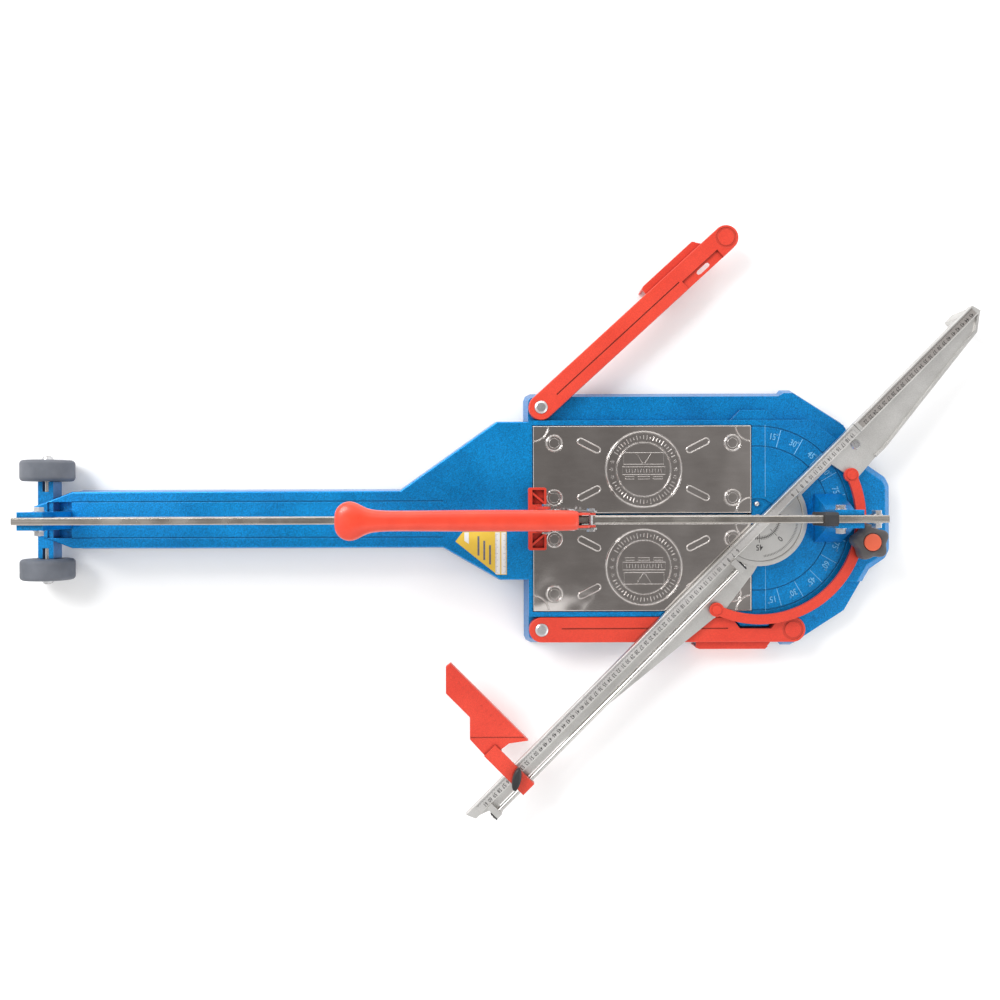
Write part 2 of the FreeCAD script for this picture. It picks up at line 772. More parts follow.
def sprung_plate(name, side):
    """Pressed plate with a turned-down skirt, a medallion, dimples, ribs and corner arcs."""
    part = body(name)
    outline = sided(rectangle("-plate_rear", "-plate_front", "plate_inner", "plate_outer"), side)
    pad(part, "XY_Plane", "plate_top - plate_skirt", [outline], "plate_skirt")
    dress(part, "Fillet", "edge_round - 1", lambda edge: level(edge, "plate_top"))
    inside = [
        ("-plate_rear + plate_skin", "plate_inner + plate_skin"),
        ("-plate_front - plate_skin", "plate_inner + plate_skin"),
        ("-plate_front - plate_skin", "plate_outer - plate_skin"),
        ("-plate_rear + plate_skin", "plate_outer - plate_skin"),
    ]
    pocket(part, "XY_Plane", "plate_top - plate_skirt", [sided(inside, side)], "plate_skirt - plate_skin")
    middle_y = "(plate_inner + plate_outer) / 2 * %d" % side
    dimples = []
    ribs = []
    for place_x, rib_x, turn in (("-dimple_rear", "-rib_rear", 1), ("-dimple_front", "-rib_front", -1)):
        for place_y, lean in (("dimple_outer", -1), ("dimple_inner", 1)):
            here = "%s * %d" % (place_y, side)
            dimples.append((place_x, here, "dimple_radius"))
            dimples.append((place_x, here, "dimple_radius - 3"))
            rib_y = "((plate_inner + plate_outer) / 2 + %d * rib_length * 0.95) * %d" % (-lean, side)
            tilt = number("rib_tilt") * turn * lean * side
            ribs.append(slot_loop(rib_x, rib_y, "rib_length", "rib_width", tilt))
    rings = [
        ("-medallion_x", middle_y, "medallion_radius"),
        ("-medallion_x", middle_y, "medallion_radius - 3"),
        ("-medallion_x", middle_y, "medallion_radius - 17"),
        ("-medallion_x", middle_y, "medallion_radius - 19"),
    ]
    pocket(part, "XY_Plane", "plate_top - relief", [*dimples, *rings], "relief + 1")
    pad(part, "XY_Plane", "plate_top", ribs, "relief")
    corners = []
    for place_x in ("-plate_rear", "-plate_front"):
        for place_y in ("plate_inner", "plate_outer"):
            here = "%s * %d" % (place_y, side)
            corners.append((place_x, here, "corner_arc"))
            corners.append((place_x, here, "corner_arc - 2"))
    pocket(part, "XY_Plane", "plate_top - relief * 0.6", corners, "relief")
    return keep("plate_" + name, part)


def plate_springs(name, side):
    """Elastomer springs with three bulges each, under the plate's four corners."""
    free = "(plate_top - plate_skin - recess_floor - 2 * seat_gap)"
    half_bulge = free + " / 6"
    springs = []
    for place_x in ("-dimple_rear", "-dimple_front"):
        for place_y in ("dimple_inner", "dimple_outer"):
            at = (place_x, "%s * %d" % (place_y, side))
            bulges = []
            for index in range(3):
                low = "recess_floor + seat_gap + %d * %s" % (2 * index, half_bulge)
                bulges.append(cone("spring_radius - 2", "spring_radius", half_bulge, *at, low))
                middle = "%s + %s" % (low, half_bulge)
                bulges.append(cone("spring_radius", "spring_radius - 2", half_bulge, *at, middle))
            springs.append(fuse(*bulges))
    return keep("plate_%s_springs" % name, fuse(*springs))


# ---------------------------------------------------------------- transport wheels


def transport_wheels():
    caps = []
    axle = cylinder("axle_radius", "2 * axle_half")
    keep("wheel_axle", axle, "-axle_x", "-axle_half", "wheel_radius", ALONG_Y)
    for name, side in SIDES:
        near = "(wing_half + side_gap) * %d" % side
        far = "(wing_half + side_gap + wheel_width) * %d" % side
        tyre = body("tyre")
        ring = [("-axle_x", "wheel_radius", "wheel_radius"), ("-axle_x", "wheel_radius", "hub_radius")]
        depth = near if side < 0 else far
        pad(tyre, "XZ_Plane", "-(%s)" % depth, ring, "wheel_width")
        outer = number("wheel_radius")

        def tread_edge(edge):
            return abs(edge.BoundBox.ZLength - 2 * outer) < 0.1 and edge.BoundBox.YLength < 1

        dress(tyre, "Fillet", "6", tread_edge)
        keep("wheel_%s_tyre" % name, tyre)
        hub = body("hub")
        centre = ("-axle_x", "wheel_radius")
        disc = [(*centre, "hub_radius"), (*centre, "axle_radius + running")]
        pad(hub, "XZ_Plane", "-(%s)" % depth, disc, "wheel_width")
        dish = [(*centre, "hub_radius - 3"), (*centre, "axle_radius + 6")]
        start = "-(%s)" % far if side > 0 else "-(%s) - hub_dish" % far
        pocket(hub, "XZ_Plane", start, dish, "hub_dish")
        keep("wheel_%s_hub" % name, hub)
        turn = ALONG_Y if side > 0 else AGAINST_Y
        at_end = ("-axle_x", "(wing_half + 2 * side_gap + wheel_width) * %d" % side, "wheel_radius", turn)
        cap = cone("axle_radius + 4", "axle_radius + 2", "5", *at_end)
        caps.append(cut(cap, cylinder("axle_radius", "5", *at_end)))
    keep("axle_caps", fuse(*caps))


# ---------------------------------------------------------------- side arms


def side_arm(name, side):
    """Arm along +X from its pivot; its leg and skirt are on the outer side."""
    part = body("arm_" + name)
    thick = "arm_top - arm_bottom"
    beam = sided(rectangle(0, "arm_length", "-arm_half", "arm_half"), side)
    pad(part, "XY_Plane", "arm_bottom", [beam], thick)
    pad(part, "XY_Plane", "arm_bottom", [(0, 0, "arm_half")], thick)
    pad(part, "XY_Plane", "arm_bottom", [("arm_length", 0, "arm_half")], thick)
    # the leg hangs just outside the casting's edge, joined to the arm by a shelf above it
    leg_front = [
        ("leg_end", "arm_half + leg_reach"),
        ("leg_start + 5", "arm_half + leg_reach"),
        ("leg_start", "arm_half + leg_reach - 2"),
    ]
    behind = "arm_half + leg_reach - leg_thick"
    leg = [("leg_start", behind), ("leg_end + 4", behind), *leg_front]
    shelf = [("leg_start", "arm_half - arm_skin"), ("leg_end + 12", "arm_half - arm_skin"), *leg_front]
    pad(part, "XY_Plane", "leg_bottom", [sided(leg, side)], "arm_bottom + 5 - leg_bottom")
    pad(part, "XY_Plane", "arm_bottom + 1", [sided(shelf, side)], "4")
    dress(part, "Fillet", "edge_round - 1", lambda edge: level(edge, "arm_top"))
    hollow_half = "arm_half - arm_skin"
    hollow = rectangle("arm_half", NOTCH_REAR + " - arm_skin", "-(%s)" % hollow_half, hollow_half)
    pocket(part, "XY_Plane", "arm_bottom", [sided(hollow, side)], thick + " - arm_skin")
    notch = [
        (NOTCH_REAR, "-arm_half - 1"),
        (NOTCH_FRONT, "-arm_half - 1"),
        (NOTCH_FRONT + " - bump_slope", "-arm_half + bump_depth + notch_gap - 1"),
        (NOTCH_REAR + " + bump_slope", "-arm_half + bump_depth + notch_gap - 1"),
    ]
    if side > 0:
        pocket(part, "XY_Plane", "arm_bottom", [sided(notch, side)], "panel_bottom - arm_bottom")
        panel_front = NOTCH_FRONT + " - arm_skin"
        window = rectangle(NOTCH_REAR, panel_front, "-arm_half - 1", "-arm_half + bump_depth - 1")
        pocket(part, "XY_Plane", "panel_top", [sided(window, side)], "arm_top - panel_top + 1")
        middle = "(%s + %s) / 2" % (NOTCH_REAR, NOTCH_FRONT)
        opening = slot_loop(middle, "-arm_half + bump_depth / 2", "25", "7", 0)
        pocket(part, "XY_Plane", "panel_bottom - 1", [opening], "10")
    else:
        pocket(part, "XY_Plane", "arm_bottom - 1", [sided(notch, side)], thick + " + 2")
    line = sided(rectangle("arm_half * 1.6", NOTCH_REAR + " - 4", "-3", "-1"), side)
    pocket(part, "XY_Plane", "arm_top - arm_groove", [line], "arm_groove + 1")
    ring = [("arm_length", 0, "arm_half - 3.5"), ("arm_length", 0, "arm_half - 7")]
    pocket(part, "XY_Plane", "arm_top - 1", ring, "2")
    pocket(part, "XY_Plane", "arm_bottom - 1", [(0, 0, "rivet_radius + running")], thick + " + 2")
    turn = number("arm_open_deg") if side > 0 else 0
    swing = FreeCAD.Rotation(Z_AXIS, turn)
    keep("side_arm_" + name, part, "-arm_pivot_x", "arm_pivot_y * %d" % side, 0, swing)


def arm_rivets():
    rivets = []
    for _, side in SIDES:
        pivot = ("-arm_pivot_x", "arm_pivot_y * %d" % side)
        length = "arm_top + seat_gap - deck_skin - foot_height"
        shank = cylinder("rivet_radius", length, *pivot, "deck_skin + foot_height")
        head = cone("rivet_head", "rivet_head - 3", "2", *pivot, "arm_top + seat_gap")
        rivets.append(fuse(shank, head))
    keep("arm_rivets", fuse(*rivets))


NOTCH_REAR = "(arm_pivot_x - bump_rear - notch_gap)"
NOTCH_FRONT = "(arm_pivot_x + bump_front + notch_gap)"

# ---------------------------------------------------------------- angle fence


def fence_placement():
    return FreeCAD.Rotation(Z_AXIS, number("fence_deg"))


def fence():
    """Drawn along +X with its working edge on y = 0; swung about Z when placed."""
    part = body("fence")
    low = "fence_bottom"
    disc = [(0, 0, "disc_radius")]
    pad(part, "XY_Plane", low, disc, "5.5")
    upper_half = rectangle("-disc_radius - 5", "disc_radius + 5", 0, "disc_radius + 5")
    pocket(part, "XY_Plane", low + " - 1", [upper_half], "8")
    web = [
        ("-fence_tail", 0),
        ("-fence_tail + 7", "-ruler_width + 1"),
        ("-rod_end", "-fence_edge + 4"),
        ("-rod_end", "-rod_offset - rod_radius - 2"),
        ("-rod_end + lug_length + 2", "-rod_offset - rod_radius - 2"),
        ("-rod_end + lug_length + 4", "-fence_edge"),
        ("-fence_tail * 0.72", "-fence_edge"),
        (GONIO_REAR_X + " - 14", GONIO_REAR_Y + " - gonio_boss + 4"),
        (GONIO_REAR_X + " + 5", GONIO_REAR_Y + " - gonio_boss"),
        ("-disc_radius * 0.9", "-disc_radius * 0.72"),
        ("disc_radius * 0.9", "-upper_arm_width"),
        ("upper_arm_wide", "-upper_arm_width"),
        (GONIO_FRONT_X, GONIO_FRONT_Y + " - gonio_boss"),
        ("fence_front * 0.951", "-fence_front_width"),
        ("fence_front * 0.981", "-fence_front_width * 0.65"),
        ("fence_front * 0.996", "-fence_front_width * 0.3"),
        ("fence_front", 0),
    ]
    pad(part, "XY_Plane", low, [web], "fence_web")
    ruler = rectangle("-fence_tail", "fence_front * 0.996", "-ruler_width", 0)
    ruler[0] = ("-fence_tail + 7", "-ruler_width")
    ruler[3] = ("-fence_tail", 0)
    pad(part, "XY_Plane", low, [ruler], "fence_top - fence_bottom")
    dress(part, "Fillet", "1", lambda edge: level(edge, "fence_top"))
    scale = rectangle("-fence_tail + 18", "fence_front - 6", "-ruler_width + 2", "-2.5")
    pocket(part, "XY_Plane", "fence_top - 0.6", [scale], "1")
    rim = [(0, 0, "disc_radius"), (0, 0, "disc_radius - 6")]
    pad(part, "XY_Plane", low + " + 5.5", rim, "2")
    other_half = rectangle("-disc_radius", "disc_radius", 0.01, "disc_radius + 1")
    pocket(part, "XY_Plane", low + " + 5.5", [other_half], "9")
    for start in ("-rod_end", "-rod_start - lug_length"):
        lug = rectangle(start, start + " + lug_length", "-rod_offset - rod_radius - 2", "-ruler_width")
        pad(part, "XY_Plane", low, [lug], "%s + rod_radius + 1.5 - fence_bottom" % ROD_HEIGHT)
    rod_hole = [("-rod_offset", ROD_HEIGHT, "rod_radius")]
    pocket(part, "YZ_Plane", "-rod_end - 20", rod_hole, "rod_end - rod_start + 21")
    # spigot that turns in the casting, tapped for its retaining screw
    under_deck = "deck_top - deck_skin - seat_gap"
    pad(part, "XY_Plane", under_deck, [(0, 0, "pivot_radius")], "fence_bottom - (%s)" % under_deck)
    beyond = rectangle("-pivot_radius - 2", "pivot_radius + 2", 0, "pivot_radius + 2")
    pocket(part, "XY_Plane", "plate_top", [beyond], "fence_bottom - plate_top + 1")
    pocket(part, "XY_Plane", under_deck + " - 1", [(0, 0, "pivot_screw")], "plate_top - (%s)" % under_deck)
    for centre in ((GONIO_REAR_X, GONIO_REAR_Y), (GONIO_FRONT_X, GONIO_FRONT_Y), (TONGUE_X, TONGUE_Y)):
        pocket(part, "XY_Plane", low + " - 1", [(*centre, "pin_radius")], "fence_web + 2")
    return keep("fence", part, 0, 0, 0, fence_placement())


ROD_HEIGHT = "(fence_bottom + fence_web + rod_radius + 2)"
GONIO_REAR_X = "(gonio_radius * -0.9421)"
GONIO_REAR_Y = "(gonio_radius * -0.3355)"
GONIO_FRONT_X = "(gonio_radius * 0.9397)"
GONIO_FRONT_Y = "(gonio_radius * -0.342)"
TONGUE_X = "(fence_front - 18)"
TONGUE_Y = "(fence_front_width * -0.42)"
TONGUE_BOTTOM = "(arm_top + seat_gap)"


def fence_pivot_screw():
    """Washer and screw that hold the fence down from inside the casting."""
    top = "deck_top - deck_skin - seat_gap"
    washer = cylinder("pivot_washer", "2", 0, 0, top + " - 2")
    shank = cylinder("pivot_screw", "plate_top - (%s)" % top, 0, 0, top + " - 2")
    head = hexagon("pivot_screw * 2", "3", 0, 0, top + " - 5")
    keep("fence_pivot_screw", fuse(washer, shank, head), 0, 0, 0, fence_placement())


def fence_extension():
    """Bolted-on end of the fence, with its own ruler and a leg down to the floor."""
    part = body("extension")
    low = "fence_bottom"
    web = [
        ("fence_front", 0),
        ("fence_front * 0.996", "-fence_front_width * 0.3"),
        ("fence_front * 0.981", "-fence_front_width * 0.65"),
        ("fence_front * 0.951", "-fence_front_width"),
        ("fence_front * 1.05", "-fence_front_width"),
        ("extension_tip - 22", "-fence_front_width * 0.58"),
        ("extension_tip + 4", "-ruler_width + 1"),
        ("extension_tip", 0),
    ]
    pad(part, "XY_Plane", low, [web], "fence_web")
    ruler = [
        ("fence_front", 0),
        ("fence_front * 0.997", "-ruler_width"),
        ("extension_tip + 4", "-ruler_width"),
        ("extension_tip", 0),
    ]
    pad(part, "XY_Plane", low, [ruler], "fence_top - fence_bottom")
    lip = [
        ("fence_front * 0.955", "-fence_front_width + 3"),
        ("fence_front * 0.951", "-fence_front_width"),
        ("fence_front * 1.05", "-fence_front_width"),
        ("extension_tip - 22", "-fence_front_width * 0.58"),
        ("extension_tip + 4", "-ruler_width"),
        ("extension_tip - 1", "-ruler_width"),
        ("extension_tip - 24", "-fence_front_width * 0.58 + 4"),
        ("fence_front * 1.05", "-fence_front_width + 3"),
    ]
    pad(part, "XY_Plane", low, [lip], "8")
    dress(part, "Fillet", "1", lambda edge: level(edge, "fence_top"))
    scale = rectangle("fence_front + 5", "extension_tip - 3", "-ruler_width + 2", "-2.5")
    pocket(part, "XY_Plane", "fence_top - 0.6", [scale], "1")
    leg = [
        ("extension_tip - 20", "-2"),
        ("extension_tip - 20", "-ruler_width - 6"),
        ("extension_tip - 1", "-ruler_width + 1"),
        ("extension_tip - 1", "-2"),
    ]
    pad(part, "XY_Plane", "leg_bottom", [leg], "fence_bottom + 1 - leg_bottom")
    tongue = rectangle("fence_front - 32", "fence_front + 10", TONGUE_Y + " - 14", TONGUE_Y + " + 14")
    pad(part, "XY_Plane", TONGUE_BOTTOM, [tongue], "fence_bottom - " + TONGUE_BOTTOM)
    rivet_hole = [(TONGUE_X, TONGUE_Y, "pin_radius")]
    pocket(part, "XY_Plane", TONGUE_BOTTOM + " - 1", rivet_hole, "fence_bottom - %s + 1.1" % TONGUE_BOTTOM)
    keep("fence_extension", part, 0, 0, 0, fence_placement())
    shank = cylinder("pin_radius", "fence_web + fence_bottom - " + TONGUE_BOTTOM, 0, 0, TONGUE_BOTTOM)
    head = cone("pin_radius + 4", "pin_radius + 2", "2.5", 0, 0, "fence_bottom + fence_web")
    rivet = keep("extension_rivet", fuse(shank, head))
    on_fence(rivet, TONGUE_X, TONGUE_Y)


def on_fence(thing, along, across):
    """Place a sub-part at a point given along and across the fence."""
    point = fence_placement().multVec(Vector(number(along), number(across), 0))
    thing.Placement = FreeCAD.Placement(point, fence_placement())
    return thing


def guide_rod():
    rod = body("rod")
    section = [("-rod_offset", ROD_HEIGHT, "rod_radius")]
    pad(rod, "YZ_Plane", "-rod_end - 4", section, "rod_end - rod_start + 8")
    keep("guide_rod", rod)
    on_fence(rod, 0, 0)
    for name, start in (("near", "-rod_start + 0.01"), ("far", "-rod_end - 2.5")):
        clip = body("clip")
        height = ROD_HEIGHT
        arms = []
        for up in (1, -1):
            arms.append(
                [
                    ("-rod_offset - 7", "%s + %d * 2" % (height, up)),
                    ("-rod_offset + 7", "%s + %d * 2" % (height, up)),
                    ("-rod_offset + 6", "%s + %d * 5.5" % (height, up)),
                    ("-rod_offset + 2.5", "%s + %d * 5.5" % (height, up)),
                    ("-rod_offset", "%s + %d * 4.8" % (height, up)),
                    ("-rod_offset - 2.5", "%s + %d * 5.5" % (height, up)),
                    ("-rod_offset - 6", "%s + %d * 5.5" % (height, up)),
                ]
            )
        band = rectangle("-rod_offset - 6", "-rod_offset + 6", height + " - 2", height + " + 2")
        pad(clip, "YZ_Plane", start, [band], "2.5")
        for arm in arms:
            pad(clip, "YZ_Plane", start, [arm], "2.5")
        pocket(clip, "YZ_Plane", start + " - 1", [("-rod_offset", height, "rod_radius")], "5")
        keep("rod_clip_" + name, clip)
        on_fence(clip, 0, 0)


def goniometer_arc():
    """Ring sector fixed to the fence at both ends; it passes under the clamp."""
    low = "fence_bottom + fence_web"
    inner = "gonio_radius - gonio_width / 2"
    begin = FreeCAD.Rotation(Z_AXIS, number("gonio_start_deg"))
    plate = cylinder(inner + " + gonio_width", "gonio_thick", 0, 0, low, begin, "gonio_sweep_deg")
    hole = cylinder(inner, "gonio_thick", 0, 0, low)
    ring = cut(plate, hole)
    bosses = []
    pins = []
    for place_x, place_y in ((GONIO_REAR_X, GONIO_REAR_Y), (GONIO_FRONT_X, GONIO_FRONT_Y)):
        bosses.append(cylinder("gonio_boss", "gonio_thick", place_x, place_y, low))
        shank = cylinder("pin_radius", "gonio_thick + fence_web", place_x, place_y, "fence_bottom")
        head = cone("pin_radius + 4", "pin_radius + 3", "2", place_x, place_y, low + " + gonio_thick")
        pins.append(fuse(shank, head))
    holes = fuse(
        cylinder("pin_radius", "gonio_thick + 4", GONIO_REAR_X, GONIO_REAR_Y, low + " - 1"),
        cylinder("pin_radius", "gonio_thick + 4", GONIO_FRONT_X, GONIO_FRONT_Y, low + " - 1"),
    )
    arc = keep("goniometer_arc", cut(fuse(ring, *bosses), holes))
    on_fence(arc, 0, 0)
    on_fence(keep("goniometer_pins", fuse(*pins)), 0, 0)


def clamp():
    """Stud in the casting, lobed knob that presses the goniometer arc, and its cap."""
    stud_bottom = "deck_top - deck_skin - 1"
    stud = cylinder("stud_radius", "knob_top - 4 - (%s)" % stud_bottom)
    keep("clamp_stud", stud, CLAMP_X, CLAMP_Y, stud_bottom)
    knob = body("knob")
    pad(knob, "XY_Plane", "knob_bottom", [(0, 0, "knob_radius * 0.78")], "knob_top - knob_bottom")
    for turn in (90, 210, 330):
        lobe_x = "knob_radius * 0.5 * %.4f" % math.cos(math.radians(turn - 8))
        lobe_y = "knob_radius * 0.5 * %.4f" % math.sin(math.radians(turn - 8))
        lobe = [(lobe_x, lobe_y, "knob_radius * 0.5")]
        pad(knob, "XY_Plane", "knob_bottom", lobe, "knob_top - knob_bottom")
    dress(knob, "Fillet", "3.5", lambda edge: level(edge, "knob_top"))
    washer_low = "fence_bottom + fence_web + gonio_thick + seat_gap"
    pad(knob, "XY_Plane", washer_low, [(0, 0, "cap_radius")], "knob_bottom - (%s)" % washer_low)
    pocket(knob, "XY_Plane", "knob_top - 2", [(0, 0, "cap_radius")], "3")
    pocket(knob, "XY_Plane", washer_low + " - 1", [(0, 0, "stud_radius + running")], "knob_top")
    keep("clamp_knob", knob, CLAMP_X, CLAMP_Y)
    cap = body("cap")
    pad(cap, "XY_Plane", "knob_top - 2", [(0, 0, "cap_radius")], "3")
    dress(cap, "Fillet", "1.2", lambda edge: level(edge, "knob_top + 1"))
    keep("clamp_knob_cap", cap, CLAMP_X, CLAMP_Y)


def sliding_stop():
    """Square stop that rides on the guide rod; drawn in the fence's own frame."""
    part = body("stop")
    low = "fence_bottom + 0.5"
    face = "-stop_face"
    plate = [
        (face, "12"),
        (face, "stop_reach"),
        (face + " - 9", "stop_reach + 1"),
        (face + " - 38", "stop_reach - 28"),
        (face + " - 38", "stop_reach - 80"),
        (face + " - 62", "stop_reach - 104"),
        (face + " - 64", "32"),
        (face + " - 38", "32"),
        (face + " - 24", "30"),
    ]
    pad(part, "XY_Plane", low, [plate], "stop_thick")
    top = "fence_top + seat_gap"
    neck = [
        (face + " - 64", "40"),
        (face + " - 64", "-rod_offset - rod_radius - 4"),
        (face + " - 40", "-rod_offset - rod_radius - 4"),
        (face + " - 40", "40"),
    ]
    pad(part, "XY_Plane", top, [neck], "stop_bridge")
    riser = rectangle(face + " - 64", face + " - 40", "30", "44")
    pad(part, "XY_Plane", low, [riser], "%s + stop_bridge - (%s)" % (top, low))
    near_rod = "-rod_offset + rod_radius + 2"
    sleeve = rectangle(face + " - 64", face + " - 40", "-rod_offset - rod_radius - 4", near_rod)
    above_web = "fence_bottom + fence_web + seat_gap"
    pad(part, "XY_Plane", above_web, [sleeve], "%s + stop_bridge - (%s)" % (top, above_web))
    fold = [(face + " - 59", "77"), (face + " - 59", "79.5"), (face + " - 1", "21.5"), (face + " - 1", "19")]
    pocket(part, "XY_Plane", "%s + stop_thick - 1" % low, [fold], "3")
    pocket(part, "YZ_Plane", face + " - 70", [("-rod_offset", ROD_HEIGHT, "rod_radius + running")], "40")
    middle = (face + " - 52", "-14")
    pocket(part, "XY_Plane", top + " - 1", [(*middle, "stud_radius")], "stop_bridge + 3")
    keep("sliding_stop", part)
    on_fence(part, 0, 0)
    knob = body("stop_knob")
    base = "%s + stop_bridge + seat_gap" % top
    pad(knob, "XY_Plane", base, [(0, 0, "stud_radius + 3")], "3")
    wing = slot_loop("0", "0", "36", "13", -57)
    pad(knob, "XY_Plane", base + " + 3", [wing], "12")
    dress(knob, "Fillet", "3", lambda edge: level(edge, base + " + 15"))
    pad(knob, "XY_Plane", top + " + 0.5", [(0, 0, "stud_radius - running")], "stop_bridge")
    keep("stop_knob", knob)
    on_fence(knob, *middle)


# ---------------------------------------------------------------- carriage


def carriage():
    side_view = [
        ("-carriage_x - 30", "carriage_bottom + 6"),
        ("-carriage_x - 16", "carriage_bottom"),
        ("-carriage_x + 14", "carriage_bottom"),
        ("-carriage_front", "handle_pivot_z - 14"),
        ("-carriage_front", "carriage_top - 4"),
        ("-carriage_front - 4", "carriage_top"),
        ("-carriage_rear + 6", "carriage_top - 3"),
        ("-carriage_rear", "carriage_top - 9"),
        ("-carriage_rear", "carriage_bottom + 6"),
    ]
    tops = "(rail_top + roller_gap + roller_radius)"
    lows = "(rail_bottom - roller_gap - roller_radius)"
    axles = (
        ("rear_top", "-roller_rear", tops),
        ("front_top", "-roller_front", tops),
        ("rear_low", "-roller_low_rear", lows),
        ("front_low", "-roller_low_front", lows),
    )
    reach = "(carriage_inner + carriage_skin)"
    for name, side in SIDES:
        plate = body("side")
        start = "-%s" % reach if side > 0 else "carriage_inner"
        pad(plate, "XZ_Plane", start, [side_view], "carriage_skin")
        holes = [(place_x, height, "roller_pin") for _, place_x, height in axles]
        holes.append(("-handle_pivot_x", "handle_pivot_z", "handle_pin"))
        holes.append(("-foot_hinge_x", "foot_hinge_z", "handle_pin"))
        pocket(plate, "XZ_Plane", "%s - 1" % start, holes, "carriage_skin + 2")
        keep("carriage_plate_" + name, plate)
    pins = []
    outer = number("roller_radius")

    def roller_rim(edge):
        return edge.BoundBox.YLength < 0.01 and edge.BoundBox.ZLength > 1.8 * outer

    for name, place_x, height in axles:
        roller = body("roller")
        ring = [(place_x, height, "roller_radius"), (place_x, height, "roller_pin + running")]
        pad(roller, "XZ_Plane", "-roller_half", ring, "2 * roller_half")
        dress(roller, "Chamfer", "0.8", roller_rim)
        keep("roller_" + name, roller)
        shank = cylinder("roller_pin", "2 * " + reach, place_x, "-" + reach, height, ALONG_Y)
        head = cylinder("roller_pin + 2", "1.5", place_x, "-%s - 1.5" % reach, height, ALONG_Y)
        tail = cylinder("roller_pin + 2", "1.5", place_x, reach, height, ALONG_Y)
        pins.append(fuse(shank, head, tail))
    keep("roller_axles", fuse(*pins))
    spacer = body("spacer")
    rear_end = "-roller_rear + roller_radius + 1.5"
    front_end = "-roller_front - roller_radius - 1.5"
    block = rectangle(rear_end, front_end, tops + " - 6", "carriage_top - 4")
    pad(spacer, "XZ_Plane", 0, [block], "2 * carriage_inner", middle=True)
    keep("carriage_spacer", spacer)
    holder = body("holder")
    block = [
        ("-carriage_x - 26", "carriage_bottom + 3"),
        ("-carriage_x + 12", "carriage_bottom + 3"),
        ("-carriage_x + 14", "rail_bottom - 2 * roller_radius - 2"),
        ("-carriage_x - 26", "rail_bottom - 2 * roller_radius - 2"),
    ]
    pad(holder, "XZ_Plane", 0, [block], "2 * carriage_inner", middle=True)
    nose = [
        ("-carriage_x - 9", "score_bottom + score_radius - 3.5"),
        ("-carriage_x + 9", "score_bottom + score_radius - 3.5"),
        ("-carriage_x + 12", "carriage_bottom + 4"),
        ("-carriage_x - 12", "carriage_bottom + 4"),
    ]
    pad(holder, "XZ_Plane", 0, [nose], "12", middle=True)
    gap_top = "score_bottom + 2 * score_radius + 1"
    gap = rectangle("-carriage_x - 13", "-carriage_x + 13", "score_bottom", gap_top)
    pocket(holder, "XZ_Plane", 0, [gap], "2 * score_half + 0.6", middle=True)
    centre = ("-carriage_x", "score_bottom + score_radius")
    pocket(holder, "XZ_Plane", 0, [(*centre, "score_pin")], "20", middle=True)
    keep("wheel_holder", holder)
    rim = cone("score_radius - score_half", "score_radius", "score_half")
    rim_back = cone("score_radius", "score_radius - score_half", "score_half", 0, 0, "score_half")
    bore = cylinder("score_pin + running", "2 * score_half")
    wheel = cut(fuse(rim, rim_back), bore)
    keep("scoring_wheel", wheel, "-carriage_x", "-score_half", "score_bottom + score_radius", ALONG_Y)
    pin = cylinder("score_pin", "13")
    keep("scoring_wheel_pin", pin, "-carriage_x", "-6.5", "score_bottom + score_radius", ALONG_Y)
    for name, place_x, height in (
        ("handle_pin", "-handle_pivot_x", "handle_pivot_z"),
        ("foot_bolt", "-foot_hinge_x", "foot_hinge_z"),
    ):
        half = reach if name == "handle_pin" else "(%s + 6)" % reach
        shank = cylinder("handle_pin", "2 * %s + 3" % half, 0, 0, 0, ALONG_Y)
        head = hexagon("handle_pin + 3", "3", 0, "-3", 0, ALONG_Y)
        tail = hexagon("handle_pin + 3", "3", 0, "2 * %s" % half, 0, ALONG_Y)
        keep(name, fuse(shank, head, tail), place_x, "-" + half, height)


def section_wire(place_x, middle, half_width, half_height, corner):
    """Rounded rectangle across the handle."""
    wide = half_width - corner
    tall = half_height - corner
    edges = []
    corners = ((wide, tall, 0), (-wide, tall, 90), (-wide, -tall, 180), (wide, -tall, 270))
    ends = []
    for across, up, start in corners:
        centre = Vector(place_x, across, middle + up)
        arc = Part.makeCircle(corner, centre, Vector(1, 0, 0), start, start + 90)
        edges.append(arc)
        ends.append((arc.valueAt(arc.FirstParameter), arc.valueAt(arc.LastParameter)))
    sides = [Part.makeLine(ends[i][1], ends[(i + 1) % 4][0]) for i in range(4)]
    order = []
    for index in range(4):
        order.append(edges[index])
        order.append(sides[index])
    return Part.Wire(Part.__sortEdges__(order))


